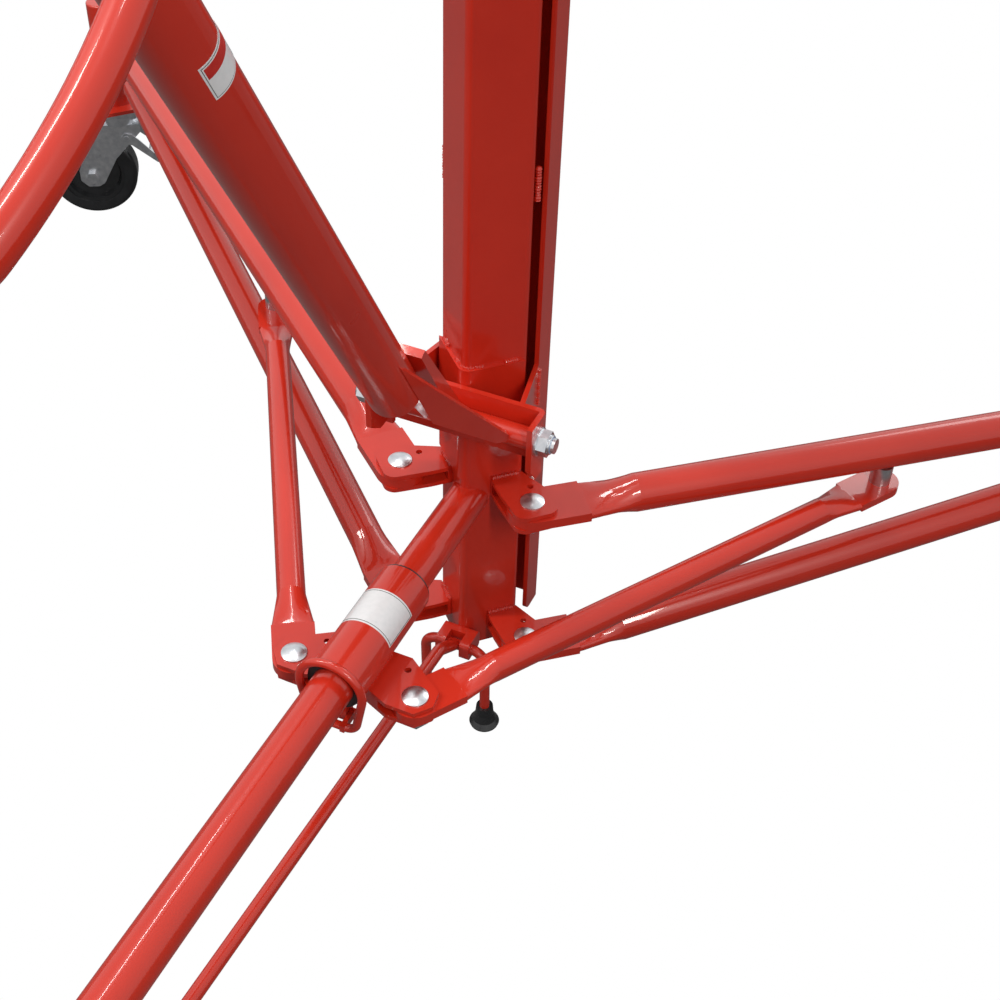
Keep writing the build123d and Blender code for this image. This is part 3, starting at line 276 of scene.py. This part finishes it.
def weld_bead(name, corners, radius, body):
    """Painted bead along a seam, drawn out ring by ring, swelling and narrowing as it was laid."""
    bm = bmesh.new()
    rim = []
    laid = 0
    for start, end in zip(corners, corners[1:]):
        run = Vector(end) - Vector(start)
        steps = max(3, int(run.length / ripple_step))
        side = run.orthogonal().normalized()
        across = Matrix((side, run.normalized().cross(side), run.normalized())).transposed().to_4x4()
        for step in range(steps + 1):
            swell = radius * (0.86 + ripple_depth * sin(laid * 1.9) + hand_drift * sin(laid * 0.53))
            if step in (0, steps):
                swell *= end_taper
            along = Matrix.Translation(Vector(start) + run * step / steps)
            ring_place = along @ across @ Matrix.Scale(swell, 4)
            if rim:
                grown = bmesh.ops.extrude_edge_only(bm, edges=rim)["geom"]
                ring = [item for item in grown if isinstance(item, bmesh.types.BMVert)]
                rim = [item for item in grown if isinstance(item, bmesh.types.BMEdge)]
                bmesh.ops.transform(bm, matrix=ring_place @ last_place.inverted(), verts=ring)
            else:
                bmesh.ops.create_circle(
                    bm, cap_ends=True, segments=ripple_sides, radius=1.0, matrix=ring_place
                )
                rim = bm.edges[:]
            last_place = ring_place
            laid += 1
    bmesh.ops.edgeloop_fill(bm, edges=rim)
    add_piece(name, bm, red_paint, body)


hands = (("left", -1), ("right", 1))
for hand, way in hands:
    for number in range(stitch_count):
        foot_z = first_stitch_z + stitch_pitch * number
        seam = [(way * stitch_x, stitch_y, foot_z), (way * stitch_x, stitch_y, foot_z + stitch_length)]
        weld_bead(f"mast_stitch_{hand}_{number}", seam, stitch_radius, "frame")

# ---------------------------------------------------------------- gusset welds
# Two gusset plates reach from the drawbar's bracket to the channel's lips. An upright bead
# stands at both ends of each plate.
bracket_low, bracket_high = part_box("drawbar_bracket")
channel_low, channel_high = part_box("mast_channel")
gusset_weld_foot_z = bracket_low[2] + 0.021
gusset_weld_top_z = bracket_high[2] - 0.005
gusset_weld_radius = 0.0028
gusset_ends = (
    ("rear", 0.0605, bracket_high[1] + 0.0005),
    ("front", channel_high[0] + 0.0007, channel_low[1] - 0.0005),
)
for hand, way in hands:
    for end_name, x, y in gusset_ends:
        seam = [(way * x, y, gusset_weld_foot_z), (way * x, y, gusset_weld_top_z)]
        weld_bead(f"gusset_{end_name}_{hand}", seam, gusset_weld_radius, "frame")

# ---------------------------------------------------------------- wrap plate welds
# The bent plate round the mast tube's rear faces is welded along its upper edge: round the
# tube's corner, and out by the channel on both sides.
wrap_weld_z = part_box("hub_plates")[1][2] + 0.0002
wrap_weld_radius = 0.0030
corner_reach = 0.0150
wrap_end_x = (0.0300, 0.0420)
mast_side = 0.070


def rear_face(x, z):
    """Point on the mast tube's rear faces, which run back to its corner at 45 degrees."""
    return (x, mast_middle_y - mast_side / sqrt(2) + abs(x), z)


corner_seam = [
    rear_face(-corner_reach, wrap_weld_z),
    (0, mast_low[1], wrap_weld_z),
    rear_face(corner_reach, wrap_weld_z),
]
weld_bead("wrap_corner", corner_seam, wrap_weld_radius, "frame")
for hand, way in hands:
    seam = [rear_face(way * x, wrap_weld_z) for x in wrap_end_x]
    weld_bead(f"wrap_end_{hand}", seam, wrap_weld_radius, "frame")

# ---------------------------------------------------------------- clevis welds
# Each leg clevis is a pair of bent lugs butted to the mast tube's rear face and welded along
# the top, one pair for the upper leg tubes and one for the lower.
clevis_spacing = 0.205
upper_clevis_weld_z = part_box("leg_clevises")[1][2] + 0.0001
clevis_weld_radius = 0.0036
clevis_weld_inner = (0.0228, mast_middle_y - 0.0270)
clevis_weld_outer = (0.0452, mast_middle_y - 0.0050)
for hand, way in hands:
    for number in range(2):
        weld_z = upper_clevis_weld_z - clevis_spacing * number
        seam = [(way * x, y, weld_z) for x, y in (clevis_weld_inner, clevis_weld_outer)]
        weld_bead(f"clevis_weld_{hand}_{number}", seam, clevis_weld_radius, "frame")

# ---------------------------------------------------------------- yoke lug welds
# The yoke's two lugs carry the braces. Each is welded to the flank of the sliding sleeve, and
# its bead slides with it.
lugs_low, lugs_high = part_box("yoke_lugs")
lug_weld_x = 0.0195
lug_weld_z = lugs_high[2] + 0.0012
lug_weld_radius = 0.0032
for hand, way in hands:
    seam = [
        (way * lug_weld_x, lugs_low[1] + 0.003, lug_weld_z),
        (way * lug_weld_x, lugs_high[1] - 0.004, lug_weld_z),
    ]
    weld_bead(f"lug_weld_{hand}", seam, lug_weld_radius, "yoke")

# ---------------------------------------------------------------- label on the sleeve
# White self-adhesive film laid over the top of the yoke's sleeve, bare but for a thin dark
# line round its edge.
label_film = crane_finish("label_film", (0.84, 0.85, 0.86), (0.90, 0.90, 0.91), 0.30, coat=0.3, scale=200)
label_ink = crane_finish("label_ink", (0.05, 0.06, 0.06), (0.08, 0.09, 0.09), 0.40, scale=200)
sleeve_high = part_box("yoke_sleeve")[1]
sleeve_radius = sleeve_high[0]
sleeve_front = Vector((0, sleeve_high[1], sleeve_high[2] - sleeve_radius))
rearward = Vector((0, -1, 0))
upward = Vector((0, 0, 1))
film_thickness = 0.00012
film_steps = 40
label_turn = (-78, 56)
label_span = (0.037, 0.085)
line_turn = (label_turn[0] + 2, label_turn[1] - 2)
line_span = (label_span[0] + 0.002, label_span[1] - 0.002)
line_width = 0.0006
line_width_turn = 1.2


def wrapped_film(name, centre, axis, zero, radius, turn, span, material, body):
    """Film bent round a tube. turn is its first and last angle in degrees from the zero
    direction, and span its first and last distance from the centre along the axis."""
    bm = bmesh.new()
    first_edge = Quaternion(axis, radians(turn[0])) @ zero * radius
    ends = [bm.verts.new(centre + first_edge + axis * distance) for distance in span]
    edge = bm.edges.new(ends)
    sweep = radians(turn[1] - turn[0])
    bmesh.ops.spin(bm, geom=[*ends, edge], cent=centre, axis=axis, angle=sweep, steps=film_steps)
    bm.normal_update()
    bmesh.ops.solidify(bm, geom=bm.faces[:], thickness=-film_thickness)
    add_piece(name, bm, material, body)


wrapped_film(
    "sleeve_label", sleeve_front, rearward, upward, sleeve_radius + 0.00022,
    label_turn, label_span, label_film, "yoke",
)
line_places = (
    (line_turn, (line_span[0], line_span[0] + line_width)),
    (line_turn, (line_span[1] - line_width, line_span[1])),
    ((line_turn[0], line_turn[0] + line_width_turn), line_span),
    ((line_turn[1] - line_width_turn, line_turn[1]), line_span),
)
for number, (turn, span) in enumerate(line_places):
    wrapped_film(
        f"sleeve_label_border_{number}", sleeve_front, rearward, upward, sleeve_radius + 0.00038,
        turn, span, label_ink, "yoke",
    )

# ---------------------------------------------------------------- plate on the drawbar
# A printed film round the drawbar's right side, where the crane's rating would stand: a bare
# red field over a bare white one, inside a dark line.
label_red = crane_finish("label_red", (0.55, 0.02, 0.015), (0.62, 0.03, 0.02), 0.35, scale=150)
bolt_low, bolt_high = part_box("drawbar_bolt")
hinge = Vector((0, (bolt_low[1] + bolt_high[1]) / 2, (bolt_low[2] + bolt_high[2]) / 2))
bar_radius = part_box("drawbar_tube")[1][0]
bar_lean = radians(30.8)
bar_offset = 0.0484
bar_rear = Quaternion((1, 0, 0), bar_lean) @ rearward
bar_up = Quaternion((1, 0, 0), bar_lean) @ upward
bar_foot = hinge + bar_rear * bar_offset
plate_layers = (
    ("plate_film", 0.00016, (57, 160), (0.6400, 0.6700), label_film),
    ("plate_line", 0.00028, (60, 157), (0.6413, 0.6687), label_ink),
    ("plate_inner", 0.00038, (61, 156), (0.6418, 0.6682), label_film),
    ("plate_red", 0.00050, (63, 154), (0.6580, 0.6672), label_red),
)
for name, lift, turn, span, film in plate_layers:
    wrapped_film(name, bar_foot, bar_up, bar_rear, bar_radius + lift, turn, span, film, "drawbar")

# ---------------------------------------------------------------- lock nuts of the hinge bolt
# Both hexagons on the drawbar's hinge bolt are finished as locking nuts, with a crimped collar
# of zinc-plated steel that holds a blue nylon ring against the thread.
nylon = crane_finish("nylon", (0.30, 0.42, 0.62), (0.36, 0.48, 0.68), 0.4, scale=100)
nut_face_x = 0.1045
ring_steps = 48
collar_profile = ((-0.0004, 0.0104), (0.0016, 0.0104), (0.0026, 0.0096), (0.0026, 0.0091))
insert_profile = ((0.0020, 0.0090), (0.0028, 0.0090), (0.0028, 0.0083))


def turned_ring(name, centre, axis, profile, material):
    """Part turned round the hinge's axis: profile holds (distance along the axis, radius)."""
    bm = bmesh.new()
    side = axis.orthogonal().normalized()
    outline = [bm.verts.new(centre + axis * distance + side * radius) for distance, radius in profile]
    edges = [bm.edges.new(pair) for pair in zip(outline, outline[1:])]
    bmesh.ops.spin(
        bm, geom=outline + edges, cent=centre, axis=axis, angle=2 * pi, steps=ring_steps, use_merge=True
    )
    bmesh.ops.holes_fill(bm, edges=[edge for edge in bm.edges if edge.is_boundary])
    add_piece(name, bm, material, "frame")


for hand, way in hands:
    outward = Vector((way, 0, 0))
    nut_face = hinge + outward * nut_face_x
    turned_ring(f"lock_collar_{hand}", nut_face, outward, collar_profile, zinc)
    turned_ring(f"lock_insert_{hand}", nut_face, outward, insert_profile, nylon)
